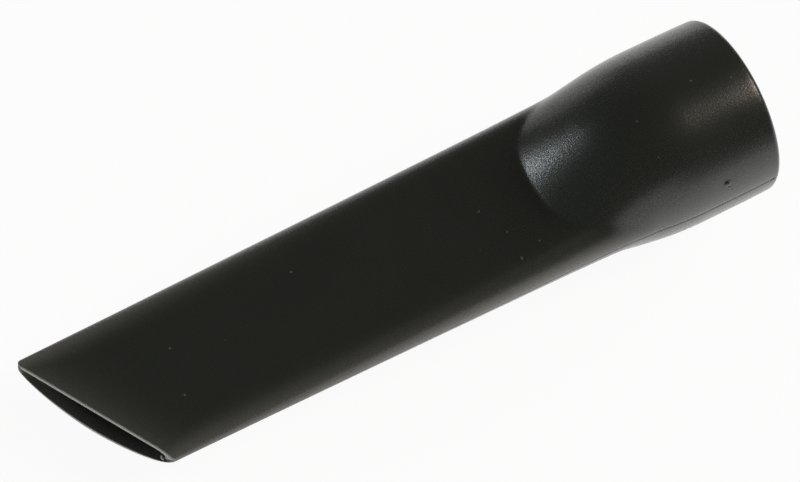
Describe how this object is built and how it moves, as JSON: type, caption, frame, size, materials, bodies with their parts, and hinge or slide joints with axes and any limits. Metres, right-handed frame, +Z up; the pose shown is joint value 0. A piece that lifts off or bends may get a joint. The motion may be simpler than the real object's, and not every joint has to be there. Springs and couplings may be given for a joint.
{
  "type": "vacuum crevice tool",
  "caption": "Black moulded plastic crevice tool with a round push-on socket, a flat tapering body and a slanted slot mouth.",
  "frame": {"origin": "middle of the footprint, on the ground, with the tool lying on its rounded belly", "axes": "+X from the slanted mouth to the round socket, +Y to the left side seen from the mouth, +Z up"},
  "size_m": [0.16, 0.0396, 0.0409],
  "materials": {
    "body": "black injection-moulded plastic with a fine spark-eroded grain, matte with a soft sheen"
  },
  "bodies": {
    "root": {"crevice_tool": "body"}
  },
  "joints": []
}
